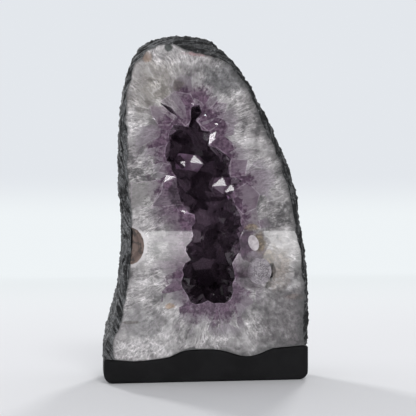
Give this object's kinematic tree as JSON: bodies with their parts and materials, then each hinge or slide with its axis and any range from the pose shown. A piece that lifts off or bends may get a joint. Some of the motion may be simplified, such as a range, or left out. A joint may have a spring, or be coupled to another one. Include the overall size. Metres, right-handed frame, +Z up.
{
  "type": "amethyst geode",
  "caption": "Tall half geode with a polished cut face: a dark rind, a thick milky quartz lining and an open cavity of amethyst points, standing on a flat cast foot.",
  "frame": {"origin": "middle of the bounding box's base, on the table under the foot", "axes": "+Z up along the height, -Y out of the polished cut face, +X to the right as seen from the face"},
  "size_m": [0.1682, 0.1128, 0.2811],
  "materials": {
    "cast_foot": "matt cast cement, painted black",
    "rind": "rough natural basalt crust, cut edge on the face",
    "quartz_lining": "milky quartz, polished on the cut face, deep purple glassy points in the cavity",
    "brown_agate": "polished, mottled",
    "white_calcite": "polished",
    "grey_quartz": "polished, cloudy"
  },
  "bodies": {
    "root": {"cast_foot": "cast_foot", "rind": "rind", "quartz_lining": "quartz_lining", "brown_agate_nodule": "brown_agate", "white_calcite_pebble": "white_calcite", "grey_quartz_nodule": "grey_quartz"}
  },
  "joints": []
}
